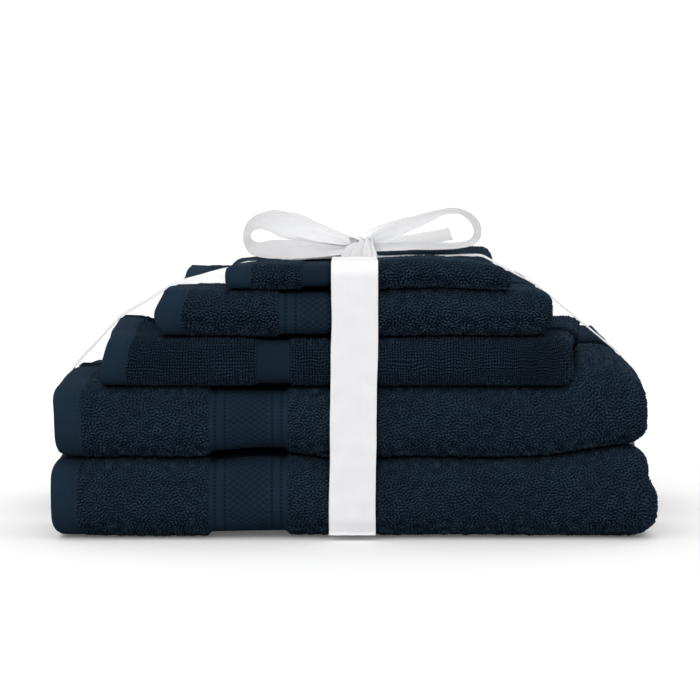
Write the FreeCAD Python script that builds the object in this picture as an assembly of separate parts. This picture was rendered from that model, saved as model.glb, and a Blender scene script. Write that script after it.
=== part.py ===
import FreeCAD, Part
import os
from collections import namedtuple
from math import cos, radians, sqrt

# A gift set of five folded navy terry towels, stacked by size and tied crosswise with one satin ribbon.
# Millimetres. +X is to the right, -Y is the front, where every towel shows its round fold, +Z is up.
# The origin is in the middle of the footprint, on the surface that the set rests on.

Vector = FreeCAD.Vector
UP = Vector(0, 0, 1)
RIGHT = Vector(1, 0, 0)
BACK = Vector(0, 1, 0)
TO_FRONT = Vector(0, -1, 0)

# ---------------------------------------------------------------- driving dimensions

STACK_FRONT = -120.0        # the plane that every round front fold lines up on
STACK_DEPTH = 240.0         # four of the towels are folded to this depth
WASHER_DEPTH = 165.0        # the face washer is a 330 mm square, folded to a quarter
AIR = 0.3                   # between two towels, and between a towel and the ribbon
FLAT_WEAVE_STEP = 1.2       # how far a hem or a woven border lies below the pile beside it

BATH_HALF = 175.8           # half of the lower bath towel's folded length
UPPER_LEFT = -172.6
UPPER_RIGHT = 172.0
MAT_FRONT_LEFT = -141.6     # the mat fans out towards its loose edges at the back
MAT_FRONT_RIGHT = 126.7
MAT_BACK_LEFT = -149.0
MAT_BACK_RIGHT = 146.0
HAND_LEFT = -114.0
HAND_RIGHT = 117.3
WASHER_LEFT = -75.2
WASHER_RIGHT = 90.8

LOWER_TOP = 48.0
UPPER_TOP = 89.5            # pressed flat under the mat; its two ends puff up round the mat
UPPER_PUFF_RIGHT = 104.0
UPPER_PUFF_LEFT = 94.0
MAT_TOP = 118.3
HAND_TOP = 146.5
WASHER_TOP = 163.0

HEM = 15.0                  # turned and stitched strip along the left end of each towel
BATH_BORDER = (-90.0, 46.0)     # where a woven border starts along X, and its width
MAT_BORDER = (-56.0, 20.0)
HAND_BORDER = (-42.0, 44.0)
WASHER_BORDER = (-36.0, 26.0)

RIBBON_WIDTH = 27.0
RIBBON_THICKNESS = 0.4
RIBBON_X = 0.5              # middle of the run that goes front to back
CROSSING_Y = -20.0          # middle of the run that goes side to side, and of the knot
RIBBON_SPLIT = 24.0         # height at which the lifting part of the ribbon ends
KNOT_X = 5.0
KNOT_HALF_X = 14.0
KNOT_HALF_Y = 13.7
KNOT_HEIGHT = 15.0
KNOT_ROUND = 5.0
LEFT_LOOP_END = -65.0
RIGHT_LOOP_END = 77.5
LOOP_HEIGHT = 26.0
LOOP_END_ROUND = 9.0
TAIL_LENGTH = 45.0
TAIL_RISE = 9.0
TAIL_BEND = 20.0
TAIL_TURN = 35.0            # degrees, each tail away from its bow loop
TAIL_CUT = 25.0             # degrees, the slanted cut at a tail's end


# ---------------------------------------------------------------- outlines and strips

def front_view(x, z):
    return Vector(x, 0, z)


def side_view(y, z):
    return Vector(0, y, z)


def plan_view(x, y):
    return Vector(x, y, 0)


def unit(v):
    return v * (1.0 / v.Length)


def rounded_face(corners):
    """A closed flat face through (point, radius) corners, each one rounded by its radius."""
    arcs = []
    count = len(corners)
    for i, (corner, radius) in enumerate(corners):
        back = unit(corners[i - 1][0] - corner)
        ahead = unit(corners[(i + 1) % count][0] - corner)
        half_cos = sqrt((1 + back.dot(ahead)) / 2)
        half_sin = sqrt(1 - half_cos ** 2)
        reach = radius * half_cos / half_sin
        inward = unit(back + ahead)
        middle = corner + inward * (radius / half_sin - radius)
        arcs.append((corner + back * reach, middle, corner + ahead * reach))
    edges = []
    for i, (start, middle, end) in enumerate(arcs):
        edges.append(Part.Arc(start, middle, end).toShape())
        edges.append(Part.makeLine(end, arcs[(i + 1) % count][0]))
    return Part.Face(Part.Wire(edges))


def taut_edges(rounds, offset, axis):
    """The edges of a band pulled tight round the outside of (centre, radius) rounds, offset outwards.

    The band turns one way only, and its first and last rounds are its two ends. Its width is along axis.
    """
    normals = []
    for (c1, r1), (c2, r2) in zip(rounds, rounds[1:]):
        run = c2 - c1
        along = unit(run)
        lean = (r1 - r2) / run.Length
        normals.append(along * lean + axis.cross(along) * sqrt(1 - lean ** 2))
    edges = []
    for i, normal in enumerate(normals):
        (c1, r1), (c2, r2) = rounds[i], rounds[i + 1]
        start = c1 + normal * (r1 + offset)
        end = c2 + normal * (r2 + offset)
        if i:
            middle = c1 + unit(normals[i - 1] + normal) * (r1 + offset)
            edges.append(Part.Arc(edges[-1].Vertexes[-1].Point, middle, start).toShape())
        edges.append(Part.makeLine(start, end))
    return edges


def ribbon_strip(rounds, axis, middle, air=AIR, room=0.0):
    """A run of ribbon that lies round rounds, its width along axis and centred on the point middle.

    room makes it thicker and wider on every side, for the groove that the ribbon lies in.
    """
    width = RIBBON_WIDTH + 2 * room
    inner = taut_edges(rounds, air - room, axis)
    outer = taut_edges(rounds, air + RIBBON_THICKNESS + room, axis)
    first = Part.makeLine(outer[0].Vertexes[0].Point, inner[0].Vertexes[0].Point)
    last = Part.makeLine(inner[-1].Vertexes[-1].Point, outer[-1].Vertexes[-1].Point)
    strip = Part.Face(Part.Wire(Part.__sortEdges__(inner + [last] + outer + [first])))
    solid = strip.extrude(axis * width)
    solid.translate(middle - axis * (width / 2))
    return solid


def write(name, shape):
    if shape.Volume < 0:
        shape.reverse()
    assert shape.isValid(), name
    shape.exportStep("parts/" + name + ".step")
    print(name, "%.1f cm3" % (shape.Volume / 1000.0))


# ---------------------------------------------------------------- the towels

# front: the outline seen from the front, as (x, z, radius) corners
# depth, back_round: the towel's size along Y, and the radius of its layered back edge
# plan: the outline seen from above, as (x, y, radius) corners, or None for a plain rectangle
# border: where its woven border starts along X, and the border's width
Towel = namedtuple("Towel", "front depth back_round plan border")

LOWER_BATH = Towel(
    front=[
        (-BATH_HALF, 0, 9), (BATH_HALF, 0, 9), (BATH_HALF, 32.5, 7), (BATH_HALF - 5, 35, 2),
        (BATH_HALF - 4.5, LOWER_TOP - AIR, 8), (-BATH_HALF, LOWER_TOP - AIR, 8),
    ],
    depth=STACK_DEPTH, back_round=5, plan=None, border=BATH_BORDER,
)

UPPER_BATH = Towel(
    front=[
        (UPPER_LEFT, LOWER_TOP, 9), (UPPER_RIGHT, LOWER_TOP, 9), (UPPER_RIGHT, UPPER_PUFF_RIGHT, 14),
        (154, UPPER_PUFF_RIGHT, 3), (148.5, UPPER_TOP - AIR, 4),
        (-152, UPPER_TOP - AIR, 3), (-156, UPPER_PUFF_LEFT, 3), (UPPER_LEFT, UPPER_PUFF_LEFT, 12),
    ],
    depth=STACK_DEPTH, back_round=5, plan=None, border=BATH_BORDER,
)

BATH_MAT = Towel(
    front=[
        (MAT_BACK_LEFT, UPPER_TOP, 4), (MAT_BACK_RIGHT, UPPER_TOP, 4), (MAT_BACK_RIGHT, 102, 6),
        (133, MAT_TOP - AIR, 8), (MAT_FRONT_LEFT, MAT_TOP - AIR, 5), (MAT_BACK_LEFT, 99, 6),
    ],
    depth=STACK_DEPTH, back_round=4,
    plan=[
        (MAT_FRONT_LEFT, STACK_FRONT, 5), (MAT_FRONT_RIGHT, STACK_FRONT, 5),
        (MAT_BACK_RIGHT, STACK_FRONT + STACK_DEPTH, 4), (MAT_BACK_LEFT, STACK_FRONT + STACK_DEPTH, 4),
    ],
    border=MAT_BORDER,
)

HAND_TOWEL = Towel(
    front=[
        (HAND_LEFT, MAT_TOP, 5), (HAND_RIGHT, MAT_TOP, 7),
        (HAND_RIGHT, HAND_TOP - AIR, 10), (HAND_LEFT, HAND_TOP - AIR, 9),
    ],
    depth=STACK_DEPTH, back_round=4, plan=None, border=HAND_BORDER,
)

FACE_WASHER = Towel(
    front=[
        (WASHER_LEFT, HAND_TOP, 4), (WASHER_RIGHT, HAND_TOP, 4),
        (WASHER_RIGHT, WASHER_TOP, 10), (WASHER_LEFT, WASHER_TOP, 8),
    ],
    depth=WASHER_DEPTH, back_round=3, plan=None, border=WASHER_BORDER,
)


def towel_ends(towel):
    xs = [corner[0] for corner in towel.front]
    return min(xs), max(xs)


def towel_heights(towel):
    zs = [corner[1] for corner in towel.front]
    return min(zs), max(zs)


def fold_rounding(towel):
    """The radius of the round front fold: a little under half of the towel's height where it is pressed."""
    bottom, top = towel_heights(towel)
    pressed_top = min(top, bottom + LOWER_TOP)
    return 0.46 * (pressed_top - bottom)


def folded_block(towel, inset):
    """The towel's outer shape: what its front, side and top outlines have in common, less an inset."""
    left, right = towel_ends(towel)
    bottom, top = towel_heights(towel)
    front = STACK_FRONT + inset
    back = STACK_FRONT + towel.depth - inset
    fold = fold_rounding(towel) - inset
    front_outline = rounded_face([(front_view(x, z), r) for x, z, r in towel.front])
    side_outline = rounded_face([
        (side_view(front, bottom + inset), fold),
        (side_view(back, bottom + inset), towel.back_round),
        (side_view(back, top - inset), towel.back_round),
        (side_view(front, top - inset), fold),
    ])
    front_outline.translate(BACK * STACK_FRONT)
    side_outline.translate(RIGHT * left)
    block = front_outline.extrude(BACK * towel.depth).common(side_outline.extrude(RIGHT * (right - left)))
    if towel.plan:
        plan_outline = rounded_face([(plan_view(x, y), r) for x, y, r in towel.plan])
        plan_outline.translate(UP * bottom)
        block = block.common(plan_outline.extrude(UP * (top - bottom)))
    return block


def folded_towel(towel):
    """The folded towel, with its hem and its woven border a step lower than the pile."""
    left = towel_ends(towel)[0]
    bottom, top = towel_heights(towel)
    border_start, border_width = towel.border
    pile = folded_block(towel, 0)
    flat_weave = folded_block(towel, FLAT_WEAVE_STEP)
    for start, end in ((left, left + HEM), (border_start, border_start + border_width)):
        zone = Part.makeBox(
            end - start, towel.depth, top - bottom, Vector(start, STACK_FRONT, bottom))
        pile = pile.cut(zone).fuse(flat_weave.common(zone))
    return pile.Solids[0]


# ---------------------------------------------------------------- the ribbon's four arms and its underside

def corner_round(corner, radius, side, up):
    """The round inside a corner. side is 1 for a corner on the far left or front, -1 for right or back."""
    a, b = corner
    return (a + side * radius, b - up * radius, radius)


def front_to_back(rounds):
    return [(side_view(a, b), r) for a, b, r in rounds]


def side_to_side(rounds):
    return [(front_view(a, b), r) for a, b, r in rounds]


LENGTHWISE_MIDDLE = RIGHT * RIBBON_X
CROSSWISE_MIDDLE = BACK * CROSSING_Y
STACK_BACK = STACK_FRONT + STACK_DEPTH
WASHER_FOLD = fold_rounding(FACE_WASHER)
LOWER_FOLD = fold_rounding(LOWER_BATH)

FRONT_ARM = front_to_back([
    (STACK_FRONT, RIBBON_SPLIT + AIR / 2, 0),
    corner_round((STACK_FRONT, WASHER_TOP), WASHER_FOLD, 1, 1),
    (CROSSING_Y - KNOT_HALF_Y, WASHER_TOP, 0),
])

BACK_ARM = front_to_back([
    (CROSSING_Y + KNOT_HALF_Y, WASHER_TOP, 0),
    corner_round((STACK_FRONT + WASHER_DEPTH, WASHER_TOP), FACE_WASHER.back_round, -1, 1),
    corner_round((STACK_BACK, HAND_TOP), HAND_TOWEL.back_round, -1, 1),
    (STACK_BACK, RIBBON_SPLIT + AIR / 2, 0),
])

LEFT_ARM = side_to_side([
    (-BATH_HALF, RIBBON_SPLIT + AIR / 2, 0),
    corner_round((-BATH_HALF, LOWER_TOP), 8, 1, 1),
    corner_round((UPPER_LEFT, UPPER_PUFF_LEFT), 12, 1, 1),
    corner_round((MAT_FRONT_LEFT, MAT_TOP), 2, 1, 1),
    corner_round((HAND_LEFT, HAND_TOP), 9, 1, 1),
    corner_round((WASHER_LEFT, WASHER_TOP), 8, 1, 1),
    (KNOT_X - KNOT_HALF_X, WASHER_TOP, 0),
])

RIGHT_ARM = side_to_side([
    (KNOT_X + KNOT_HALF_X, WASHER_TOP, 0),
    corner_round((WASHER_RIGHT, WASHER_TOP), 10, -1, 1),
    corner_round((HAND_RIGHT, HAND_TOP), 10, -1, 1),
    corner_round((UPPER_RIGHT, UPPER_PUFF_RIGHT), 14, -1, 1),
    (BATH_HALF - 8, RIBBON_SPLIT + 2.5, 8),
    (BATH_HALF, RIBBON_SPLIT + AIR / 2, 0),
])

# The run under the set lies flush in a groove that its own thickness presses into the lower towel.
UNDER_FRONT_TO_BACK = front_to_back([
    (STACK_BACK, RIBBON_SPLIT - AIR / 2, 0),
    (STACK_BACK - LOWER_BATH.back_round, LOWER_BATH.back_round + AIR + RIBBON_THICKNESS,
     LOWER_BATH.back_round),
    (STACK_FRONT + LOWER_FOLD, LOWER_FOLD + AIR + RIBBON_THICKNESS, LOWER_FOLD),
    (STACK_FRONT, RIBBON_SPLIT - AIR / 2, 0),
])

UNDER_SIDE_TO_SIDE = side_to_side([
    (BATH_HALF, RIBBON_SPLIT - AIR / 2, 0),
    (BATH_HALF - 9, 9 + AIR + RIBBON_THICKNESS, 9),
    (-BATH_HALF + 9, 9 + AIR + RIBBON_THICKNESS, 9),
    (-BATH_HALF, RIBBON_SPLIT - AIR / 2, 0),
])


def ribbon_underside(room=0.0):
    """The cross of ribbon under the set, with its four ends turned up against the lower towel.

    With room, it is the groove that the ribbon presses into the lower towel.
    """
    lengthwise = ribbon_strip(UNDER_FRONT_TO_BACK, RIGHT, LENGTHWISE_MIDDLE, room=room)
    crosswise = ribbon_strip(UNDER_SIDE_TO_SIDE, TO_FRONT, CROSSWISE_MIDDLE, room=room)
    return lengthwise.fuse(crosswise)


# ---------------------------------------------------------------- the bow

def knot():
    block = Part.makeBox(
        2 * KNOT_HALF_X, 2 * KNOT_HALF_Y, KNOT_HEIGHT,
        Vector(KNOT_X - KNOT_HALF_X, CROSSING_Y - KNOT_HALF_Y, WASHER_TOP + AIR))
    upper_edges = [e for e in block.Edges if e.CenterOfMass.z > WASHER_TOP + AIR + 1]
    return block.makeFillet(KNOT_ROUND, upper_edges)


def bow_loop(end_x):
    """A teardrop loop of ribbon, from the side of the knot out to end_x and back."""
    side = 1 if end_x > KNOT_X else -1
    root_x = KNOT_X + side * (KNOT_HALF_X + AIR)
    bottom = WASHER_TOP + 2 * AIR + 2 * RIBBON_THICKNESS
    end_middle = end_x - side * LOOP_END_ROUND
    rounds = [
        (root_x, bottom + 0.5, 0),
        (end_middle, bottom + LOOP_END_ROUND, LOOP_END_ROUND),
        (end_middle, bottom + LOOP_HEIGHT - LOOP_END_ROUND, LOOP_END_ROUND),
        (root_x, bottom + 6.5, 0),
    ]
    return ribbon_strip(side_to_side(rounds), BACK * side, CROSSWISE_MIDDLE, air=0.0)


def bow_tail(side):
    """A tail that leaves the back of the knot, rises a little and ends in a slanted cut."""
    bottom = WASHER_TOP + 2 * AIR + 2 * RIBBON_THICKNESS + 1
    path = [
        (Vector(0, 0, 0), 0),
        (Vector(TAIL_LENGTH * 0.5, 0, TAIL_RISE - TAIL_BEND), TAIL_BEND),
        (Vector(TAIL_LENGTH, 0, TAIL_RISE * 0.6), 0),
    ]
    strip = ribbon_strip(path, TO_FRONT, Vector(0, 0, 0), air=0.0)
    cutter = Part.makeBox(30, 60, 60, Vector(TAIL_LENGTH - 6, -30, -30))
    cutter.rotate(Vector(TAIL_LENGTH - 6, 0, 0), UP, TAIL_CUT)
    strip = strip.cut(cutter)
    turn = TAIL_TURN if side > 0 else 180 - TAIL_TURN
    strip.rotate(Vector(0, 0, 0), UP, turn)
    strip.translate(Vector(
        KNOT_X + side * KNOT_HALF_X * 0.9,
        CROSSING_Y + KNOT_HALF_Y + RIBBON_WIDTH / 2 * cos(radians(TAIL_TURN)) + AIR,
        bottom))
    return strip.Solids[0]


# ---------------------------------------------------------------- write the parts

os.makedirs("parts", exist_ok=True)

write("bath_towel_lower", folded_towel(LOWER_BATH).cut(ribbon_underside(room=AIR)))
write("bath_towel_upper", folded_towel(UPPER_BATH))
write("bath_mat", folded_towel(BATH_MAT))
write("hand_towel", folded_towel(HAND_TOWEL))
write("face_washer", folded_towel(FACE_WASHER))

write("ribbon_underside", ribbon_underside())
write("ribbon_front_arm", ribbon_strip(FRONT_ARM, RIGHT, LENGTHWISE_MIDDLE))
write("ribbon_back_arm", ribbon_strip(BACK_ARM, RIGHT, LENGTHWISE_MIDDLE))
write("ribbon_left_arm", ribbon_strip(LEFT_ARM, TO_FRONT, CROSSWISE_MIDDLE))
write("ribbon_right_arm", ribbon_strip(RIGHT_ARM, TO_FRONT, CROSSWISE_MIDDLE))
write("bow_knot", knot())
write("bow_loop_left", bow_loop(LEFT_LOOP_END))
write("bow_loop_right", bow_loop(RIGHT_LOOP_END))
write("bow_tail_left", bow_tail(-1))
write("bow_tail_right", bow_tail(1))
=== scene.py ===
from math import pi, radians

import bpy
import numpy as np
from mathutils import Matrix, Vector


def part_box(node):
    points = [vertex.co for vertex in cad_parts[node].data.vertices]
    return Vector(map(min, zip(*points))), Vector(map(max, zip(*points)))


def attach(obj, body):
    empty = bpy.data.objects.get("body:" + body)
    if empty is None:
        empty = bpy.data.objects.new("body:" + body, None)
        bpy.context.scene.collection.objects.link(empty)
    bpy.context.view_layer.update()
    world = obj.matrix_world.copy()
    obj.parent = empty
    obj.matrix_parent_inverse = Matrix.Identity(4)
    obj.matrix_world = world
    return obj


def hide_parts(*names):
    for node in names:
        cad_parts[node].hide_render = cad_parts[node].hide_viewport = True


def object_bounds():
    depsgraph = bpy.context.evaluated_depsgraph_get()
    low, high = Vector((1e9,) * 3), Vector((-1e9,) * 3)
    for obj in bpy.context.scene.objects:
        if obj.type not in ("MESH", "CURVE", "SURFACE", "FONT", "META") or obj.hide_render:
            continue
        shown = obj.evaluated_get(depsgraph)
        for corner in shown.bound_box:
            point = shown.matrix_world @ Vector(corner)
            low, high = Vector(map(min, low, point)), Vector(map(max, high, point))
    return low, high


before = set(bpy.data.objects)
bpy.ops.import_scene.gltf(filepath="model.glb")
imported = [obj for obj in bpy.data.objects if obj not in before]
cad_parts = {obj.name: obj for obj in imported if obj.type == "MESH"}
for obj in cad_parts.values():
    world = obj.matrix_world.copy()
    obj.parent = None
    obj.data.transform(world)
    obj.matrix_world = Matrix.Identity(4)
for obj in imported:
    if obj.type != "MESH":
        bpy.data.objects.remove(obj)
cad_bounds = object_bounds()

# Five folded terry towels tied with a satin ribbon. Lengths are in millimetres until a mesh is made.

MM = 0.001

# -------- driving dimensions

HEM = 15.0                # flat strip turned over and stitched along each towel's cut end
PILE = 2.0                # how far the loops stand up from the ground weave
GROUND = PILE * 0.75      # how far the ground weave lies below the face of a folded layer
FLAT_STEP = 1.1           # how far a hem or a woven border lies below the tips of the loops
INNER_EDGE = 4.0          # how far a towel folded in thirds keeps its inner edge from the front fold
INNER_END = 3.0           # how far the cloth's inner end stands back from the folded end
FRONT_WAVE = 0.9          # how far the round front folds wander in and out
RIBBON_WIDTH = 27.0
RIBBON_THICKNESS = 0.35
SKIN_STEP = 0.54     # spacing of the loops' mesh along the cloth
PRESSED_STEP = 1.8                          # the same where the towel above presses the loops flat


def cad_box(node):
    low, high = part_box(node)
    return np.array(low) / MM, np.array(high) / MM


# -------- small maths

def smooth(a, b, x):
    """0 below a, 1 above b, and a smooth step between them."""
    t = np.clip((x - a) / (b - a), 0.0, 1.0)
    return t * t * (3.0 - 2.0 * t)


def near(middle, reach, x):
    """1 at middle, falling off smoothly to about a third at reach from it."""
    return np.exp(-((x - middle) / reach) ** 2)


def between(start, end, soft, x):
    """1 between start and end, 0 outside them, with smooth steps that reach soft to either side."""
    return smooth(start - soft, start + soft, x) * (1 - smooth(end - soft, end + soft, x))


def unit(vectors):
    """The same directions, each of length one."""
    return vectors / np.linalg.norm(vectors, axis=-1)[..., None]


def wave_noise(seed, x, y, size, count=24):
    """Smooth noise between about -1 and 1 at each (x, y), whose features are about size across."""
    rng = np.random.default_rng(seed)
    total = np.zeros(np.broadcast(x, y).shape)
    for _ in range(count):
        angle = rng.uniform(0, 2 * pi)
        rate = 2 * pi / (size * rng.uniform(0.7, 1.6))
        phase = rng.uniform(0, 2 * pi)
        total += np.sin(rate * (x * np.cos(angle) + y * np.sin(angle)) + phase)
    return total / np.sqrt(count) * 0.8


TILE_STEP = 0.3
TILE_CELLS = 640


def band_tile(seed, wave_length, spread, row_bias):
    """A square tile of noise whose bumps all have about one size. row_bias draws them out into rows."""
    rng = np.random.default_rng(seed)
    noise = np.fft.fft2(rng.standard_normal((TILE_CELLS, TILE_CELLS)))
    rate = np.fft.fftfreq(TILE_CELLS, TILE_STEP)
    ru, rv = np.meshgrid(rate, rate, indexing="ij")
    radius = np.hypot(ru, rv)
    ring = np.exp(-((radius * wave_length - 1.0) / spread) ** 2)
    lean = 1.0 + row_bias * rv ** 2 / np.maximum(radius ** 2, 1e-9)
    field = np.real(np.fft.ifft2(noise * ring * lean))
    return field / field.std()


def sample_tile(tile, u, v):
    """The tile's value at each (u, v), repeated without a seam."""
    a = u / TILE_STEP
    b = v / TILE_STEP
    i = np.floor(a).astype(int)
    j = np.floor(b).astype(int)
    fa = a - i
    fb = b - j
    i0, j0 = i % TILE_CELLS, j % TILE_CELLS
    i1, j1 = (i + 1) % TILE_CELLS, (j + 1) % TILE_CELLS
    return (
        tile[i0, j0] * (1 - fa) * (1 - fb) + tile[i1, j0] * fa * (1 - fb)
        + tile[i0, j1] * (1 - fa) * fb + tile[i1, j1] * fa * fb
    )


LOOPS = band_tile(11, 1.85, 0.34, 0.5)
CLUMPS = band_tile(12, 9.0, 0.4, 0.0)


# -------- meshes

def add_object(name, data):
    thing = bpy.data.objects.new(name, data)
    bpy.context.scene.collection.objects.link(thing)
    return thing


def make_mesh(name, points, quads, cloth, values, material):
    """A smooth mesh from points in millimetres.

    cloth is each point's place on the flat cloth, in metres, and values are numbers for the material to read.
    """
    used = np.unique(quads)
    renumber = np.full(len(points), -1)
    renumber[used] = np.arange(len(used))
    quads = renumber[quads]
    points = points[used] * MM
    mesh = bpy.data.meshes.new(name)
    mesh.vertices.add(len(points))
    mesh.vertices.foreach_set("co", points.astype(np.float32).ravel())
    mesh.loops.add(quads.size)
    mesh.loops.foreach_set("vertex_index", quads.astype(np.int32).ravel())
    mesh.polygons.add(len(quads))
    mesh.polygons.foreach_set("loop_start", (np.arange(len(quads)) * 4).astype(np.int32))
    mesh.polygons.foreach_set("use_smooth", np.ones(len(quads), bool))
    mesh.materials.append(material)
    mesh.update(calc_edges=True)
    layer = mesh.uv_layers.new(name="cloth")
    layer.data.foreach_set("uv", cloth[used][quads.ravel()].astype(np.float32).ravel())
    for key, value in values.items():
        attribute = mesh.attributes.new(key, "FLOAT", "POINT")
        attribute.data.foreach_set("value", value[used].astype(np.float32))
    mesh.validate()
    return add_object(name, mesh)


def grid_quads(rows, columns, start=0, flip=False):
    """The quads of a grid of rows x columns points, numbered row by row from start."""
    index = start + np.arange(rows * columns).reshape(rows, columns)
    corners = [index[:-1, :-1], index[1:, :-1], index[1:, 1:], index[:-1, 1:]]
    if flip:
        corners.reverse()
    return np.stack([c.ravel() for c in corners], axis=1)


def closed_quads(rows, columns):
    """The quads of two such grids, numbered one after the other, with their rims joined."""
    count = rows * columns
    index = np.arange(count).reshape(rows, columns)
    rim = np.concatenate([index[0, :-1], index[:-1, -1], index[-1, :0:-1], index[:0:-1, 0]])
    after = np.roll(rim, -1)
    joints = np.stack([rim + count, after + count, after, rim], axis=1)
    return np.concatenate([
        grid_quads(rows, columns), grid_quads(rows, columns, start=count, flip=True), joints,
    ])


# -------- materials

class Nodes:
    """Short calls that add shader nodes to one material and link them."""

    def __init__(self, name):
        self.material = bpy.data.materials.new(name)
        self.material.use_nodes = True
        self.tree = self.material.node_tree
        self.tree.nodes.clear()
        self.shader = self.add("ShaderNodeBsdfPrincipled")
        output = self.add("ShaderNodeOutputMaterial")
        self.tree.links.new(self.shader.outputs[0], output.inputs[0])

    def add(self, kind, **settings):
        node = self.tree.nodes.new(kind)
        for key, value in settings.items():
            setattr(node, key, value)
        return node

    def constants(self, values):
        for name, value in values.items():
            self.shader.inputs[name].default_value = value

    def link(self, value, socket):
        if hasattr(value, "links"):
            self.tree.links.new(value, socket)
        else:
            socket.default_value = value

    def maths(self, operation, a, b=0.0):
        node = self.add("ShaderNodeMath", operation=operation)
        self.link(a, node.inputs[0])
        self.link(b, node.inputs[1])
        return node.outputs[0]

    def times(self, a, b):
        return self.maths("MULTIPLY", a, b)

    def noise(self, coordinates, scale, detail=2.0, roughness=0.5):
        node = self.add("ShaderNodeTexNoise")
        self.link(coordinates, node.inputs["Vector"])
        node.inputs["Scale"].default_value = scale
        node.inputs["Detail"].default_value = detail
        node.inputs["Roughness"].default_value = roughness
        return node.outputs["Fac"]

    def colours(self, factor, stops):
        """A colour for each factor, from (position, colour) stops."""
        ramp = self.add("ShaderNodeValToRGB")
        while len(ramp.color_ramp.elements) < len(stops):
            ramp.color_ramp.elements.new(0.5)
        for element, (position, colour) in zip(ramp.color_ramp.elements, stops):
            element.position = position
            element.color = (*colour, 1.0)
        self.link(factor, ramp.inputs[0])
        return ramp.outputs[0]

    def mix(self, factor, a, b, blend="MIX"):
        node = self.add("ShaderNodeMix", data_type="RGBA", blend_type=blend)
        self.link(factor, node.inputs[0])
        self.link(a, node.inputs[6])
        self.link(b, node.inputs[7])
        return node.outputs[2]

    def remap(self, value, low, high, to_low, to_high):
        node = self.add("ShaderNodeMapRange")
        for socket, number in zip(node.inputs, (value, low, high, to_low, to_high)):
            self.link(number, socket)
        return node.outputs[0]

    def attribute(self, name):
        return self.add("ShaderNodeAttribute", attribute_name=name).outputs["Fac"]

    def cloth_axes(self):
        """The place on the flat cloth: the pair, along the towel's length, and across it, in metres."""
        place = self.add("ShaderNodeUVMap", uv_map="cloth").outputs[0]
        parts = self.add("ShaderNodeSeparateXYZ")
        self.link(place, parts.inputs[0])
        return place, parts.outputs[0], parts.outputs[1]

    def bump(self, height, distance, strength=1.0, under=None):
        node = self.add("ShaderNodeBump")
        node.inputs["Strength"].default_value = strength
        node.inputs["Distance"].default_value = distance
        self.link(height, node.inputs["Height"])
        if under is not None:
            self.link(under, node.inputs["Normal"])
        return node.outputs[0]


# Navy terry colours. The mid and pit colours are painted shade that darkens the loops down into the pits
# between them.
NAVY_TIP = (0.0235, 0.0430, 0.0665)
NAVY_MID_PAINTED_SHADE = (0.0030, 0.0074, 0.0142)
NAVY_PIT_PAINTED_SHADE = (0.0002, 0.0007, 0.0018)
NAVY_FLAT = (0.0125, 0.0268, 0.0445)
NAVY_SHEEN = (0.35, 0.55, 0.85, 1.0)


def terry_material(name, yarn_scale):
    """Dyed navy cotton loops, with painted shade: darker between the loops and lighter on their tips, as
    shade falls in the pits. Hems and borders are flat-woven.
    """
    n = Nodes(name)
    place, along, across = n.cloth_axes()
    pile = n.attribute("pile")
    flat = n.attribute("flat")
    yarn = n.noise(place, yarn_scale, 3.0, 0.65)
    patches = n.noise(place, 38.0, 2.0)
    height = n.maths("ADD", n.times(pile, 0.74), n.times(yarn, 0.56))
    # painted shade: the lower the pile and yarn height, the darker the colour, from the tips down into the
    # pits
    loops = n.colours(height, [(0.26, NAVY_PIT_PAINTED_SHADE), (0.58, NAVY_MID_PAINTED_SHADE), (0.98, NAVY_TIP)])
    rib = n.maths("SINE", n.times(along, 2 * pi / (0.9 * MM)))
    pick = n.maths("SINE", n.times(across, 2 * pi / (0.7 * MM)))
    weave = n.times(rib, pick)
    weave_tone = n.remap(weave, -1.0, 1.0, 0.84, 1.06)
    # the flat weave also gets painted shade: its low places take the pit colour
    flat_colour = n.mix(1.0, n.mix(pile, NAVY_PIT_PAINTED_SHADE + (1.0,), NAVY_FLAT + (1.0,)), weave_tone, "MULTIPLY")
    colour = n.mix(flat, loops, flat_colour)
    tone = n.remap(patches, 0.3, 0.7, 0.86, 1.14)
    n.link(n.mix(1.0, colour, tone, "MULTIPLY"), n.shader.inputs["Base Color"])
    n.link(n.remap(pile, 0.0, 1.0, 1.0, 0.90), n.shader.inputs["Roughness"])
    n.constants({
        "Specular IOR Level": 0.04, "Sheen Weight": 0.012, "Sheen Roughness": 0.5, "Sheen Tint": NAVY_SHEEN,
    })
    twist = n.bump(n.times(yarn, n.maths("SUBTRACT", 1.0, flat)), 1.4 * MM, 1.0)
    woven = n.bump(n.times(weave, flat), 0.12 * MM, 0.7, under=twist)
    n.link(woven, n.shader.inputs["Normal"])
    return n.material


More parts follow.
